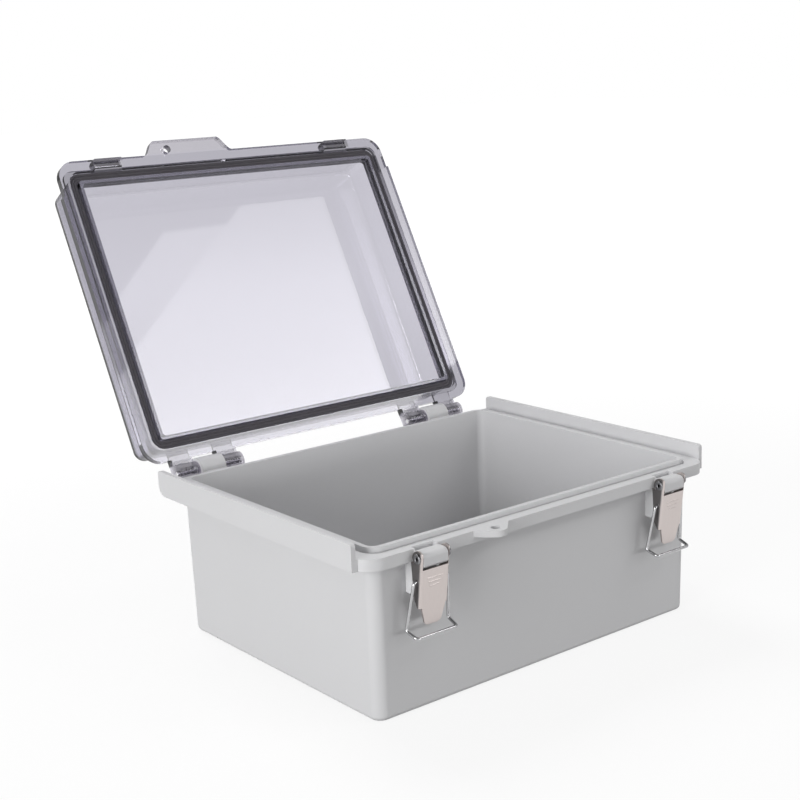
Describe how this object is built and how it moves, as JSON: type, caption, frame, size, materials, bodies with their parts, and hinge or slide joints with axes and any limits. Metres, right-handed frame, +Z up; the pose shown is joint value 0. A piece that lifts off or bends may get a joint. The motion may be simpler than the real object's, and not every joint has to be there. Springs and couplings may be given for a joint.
{
  "type": "hinged enclosure",
  "caption": "Hinged plastic enclosure with a clear domed lid standing open, sealing gasket, bail latches at the front, side wings and a mounting rail inside.",
  "frame": {"origin": "centre of the body's flat underside", "axes": "+X to the right along the latch side, +Y from the latches to the hinges, +Z up; the lid stands open at joint value 0"},
  "size_m": [0.2256, 0.2948, 0.2454],
  "materials": {
    "base_plastic": "fine-grained light grey moulded polycarbonate",
    "lid_plastic": "clear polished polycarbonate",
    "gasket": "dark grey foamed-in gasket",
    "lever_steel": "satin stainless sheet",
    "wire_steel": "bright stainless wire",
    "pin_steel": "bright stainless pin",
    "brass": "knurled brass",
    "rail_steel": "zinc-plated steel",
    "screw_steel": "zinc-plated steel"
  },
  "bodies": {
    "base": {"base_shell": "base_plastic", "hinge_pin_left": "pin_steel", "hinge_pin_right": "pin_steel", "plate_insert_front_left": "brass", "plate_insert_front_right": "brass", "plate_insert_rear_left": "brass", "plate_insert_rear_right": "brass", "rail_insert_left": "brass", "rail_insert_right": "brass", "din_rail": "rail_steel", "rail_screw_left": "screw_steel", "rail_screw_right": "screw_steel"},
    "lid": {"lid_cover": "lid_plastic", "lid_gasket": "gasket"},
    "lever_left": {"latch_lever_left": "lever_steel", "latch_rivet_left": "pin_steel"},
    "lever_right": {"latch_lever_right": "lever_steel", "latch_rivet_right": "pin_steel"},
    "bail_left": {"latch_bail_left": "wire_steel"},
    "bail_right": {"latch_bail_right": "wire_steel"}
  },
  "joints": [
    {"name": "lid_hinge", "type": "hinge", "parent": "base", "child": "lid", "pos_m": [0, 0.094, 0.0792], "axis": [1, 0, 0], "range_deg": [0, 118]},
    {"name": "latch_lever_left", "type": "hinge", "parent": "base", "child": "lever_left", "pos_m": [-0.077, -0.09, 0.0758], "axis": [-1, 0, 0], "range_deg": [0, 110]},
    {"name": "latch_bail_left", "type": "hinge", "parent": "lever_left", "child": "bail_left", "pos_m": [-0.077, -0.08848, 0.0651], "axis": [1, 0, 0], "range_deg": [-190, 0]},
    {"name": "latch_lever_right", "type": "hinge", "parent": "base", "child": "lever_right", "pos_m": [0.077, -0.09, 0.0758], "axis": [-1, 0, 0], "range_deg": [0, 110]},
    {"name": "latch_bail_right", "type": "hinge", "parent": "lever_right", "child": "bail_right", "pos_m": [0.077, -0.08848, 0.0651], "axis": [1, 0, 0], "range_deg": [-190, 0]}
  ]
}
